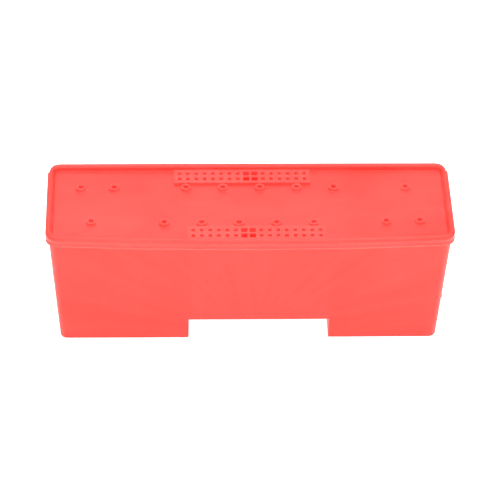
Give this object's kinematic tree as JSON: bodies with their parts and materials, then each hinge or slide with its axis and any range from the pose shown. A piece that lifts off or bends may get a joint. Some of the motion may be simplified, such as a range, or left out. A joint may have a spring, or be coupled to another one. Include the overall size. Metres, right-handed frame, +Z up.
{
  "type": "water filled barrier",
  "caption": "Low trough-shaped plastic barrier: a tapered tub with a tunnel under it, a press-fit lid with a rolled rim, deck sleeves, lift-out strainers and a drain plug.",
  "frame": {"origin": "centre of the footprint, on the ground", "axes": "+X along the length with the tunnel's centre on the +X side, +Y to the rear, +Z up"},
  "size_m": [1, 0.31, 0.345],
  "materials": {
    "shell": "coral red moulded polyethylene, soft satin",
    "insert": "coral red moulded polypropylene, soft satin",
    "seal_rubber": "black EPDM, matt",
    "baffle_plastic": "natural polyethylene sheet",
    "bush_brass": "turned brass, dull",
    "plug_plastic": "black moulded polypropylene"
  },
  "bodies": {
    "tub_body": {"tub": "shell", "baffle_left": "baffle_plastic", "baffle_right": "baffle_plastic", "drain_bush": "bush_brass"},
    "lid_body": {"lid": "shell", "lid_seal": "seal_rubber", "sleeve_rear_1": "insert", "sleeve_rear_2": "insert", "sleeve_rear_3": "insert", "sleeve_rear_4": "insert", "sleeve_rear_5": "insert", "sleeve_rear_6": "insert", "sleeve_rear_7": "insert", "sleeve_rear_8": "insert", "sleeve_front_1": "insert", "sleeve_front_2": "insert", "sleeve_front_3": "insert", "sleeve_front_4": "insert", "sleeve_front_5": "insert", "sleeve_front_6": "insert", "sleeve_front_7": "insert", "sleeve_front_8": "insert"},
    "strainer_rear_body": {"strainer_rear": "insert"},
    "strainer_front_body": {"strainer_front": "insert"},
    "washer_body": {"drain_washer": "seal_rubber"},
    "plug_body": {"drain_plug": "plug_plastic"}
  },
  "joints": [
    {"name": "lid_lift", "type": "slide", "parent": "tub_body", "child": "lid_body", "axis": [0, 0, 1], "range_m": [0, 0.1]},
    {"name": "strainer_rear_lift", "type": "slide", "parent": "lid_body", "child": "strainer_rear_body", "axis": [0, 0, 1], "range_m": [0, 0.03]},
    {"name": "strainer_front_lift", "type": "slide", "parent": "lid_body", "child": "strainer_front_body", "axis": [0, 0, 1], "range_m": [0, 0.03]},
    {"name": "drain_travel", "type": "slide", "parent": "tub_body", "child": "washer_body", "axis": [1, 0, 0], "range_m": [0, 0.0126]},
    {"name": "drain_turn", "type": "hinge", "parent": "washer_body", "child": "plug_body", "pos_m": [0.48, 0, 0.042], "axis": [1, 0, 0], "range_deg": [0, 1800]}
  ],
  "couplings": [
    {"joint": "drain_travel", "follows": "drain_turn", "m_per_rad": 0.00039789}
  ]
}
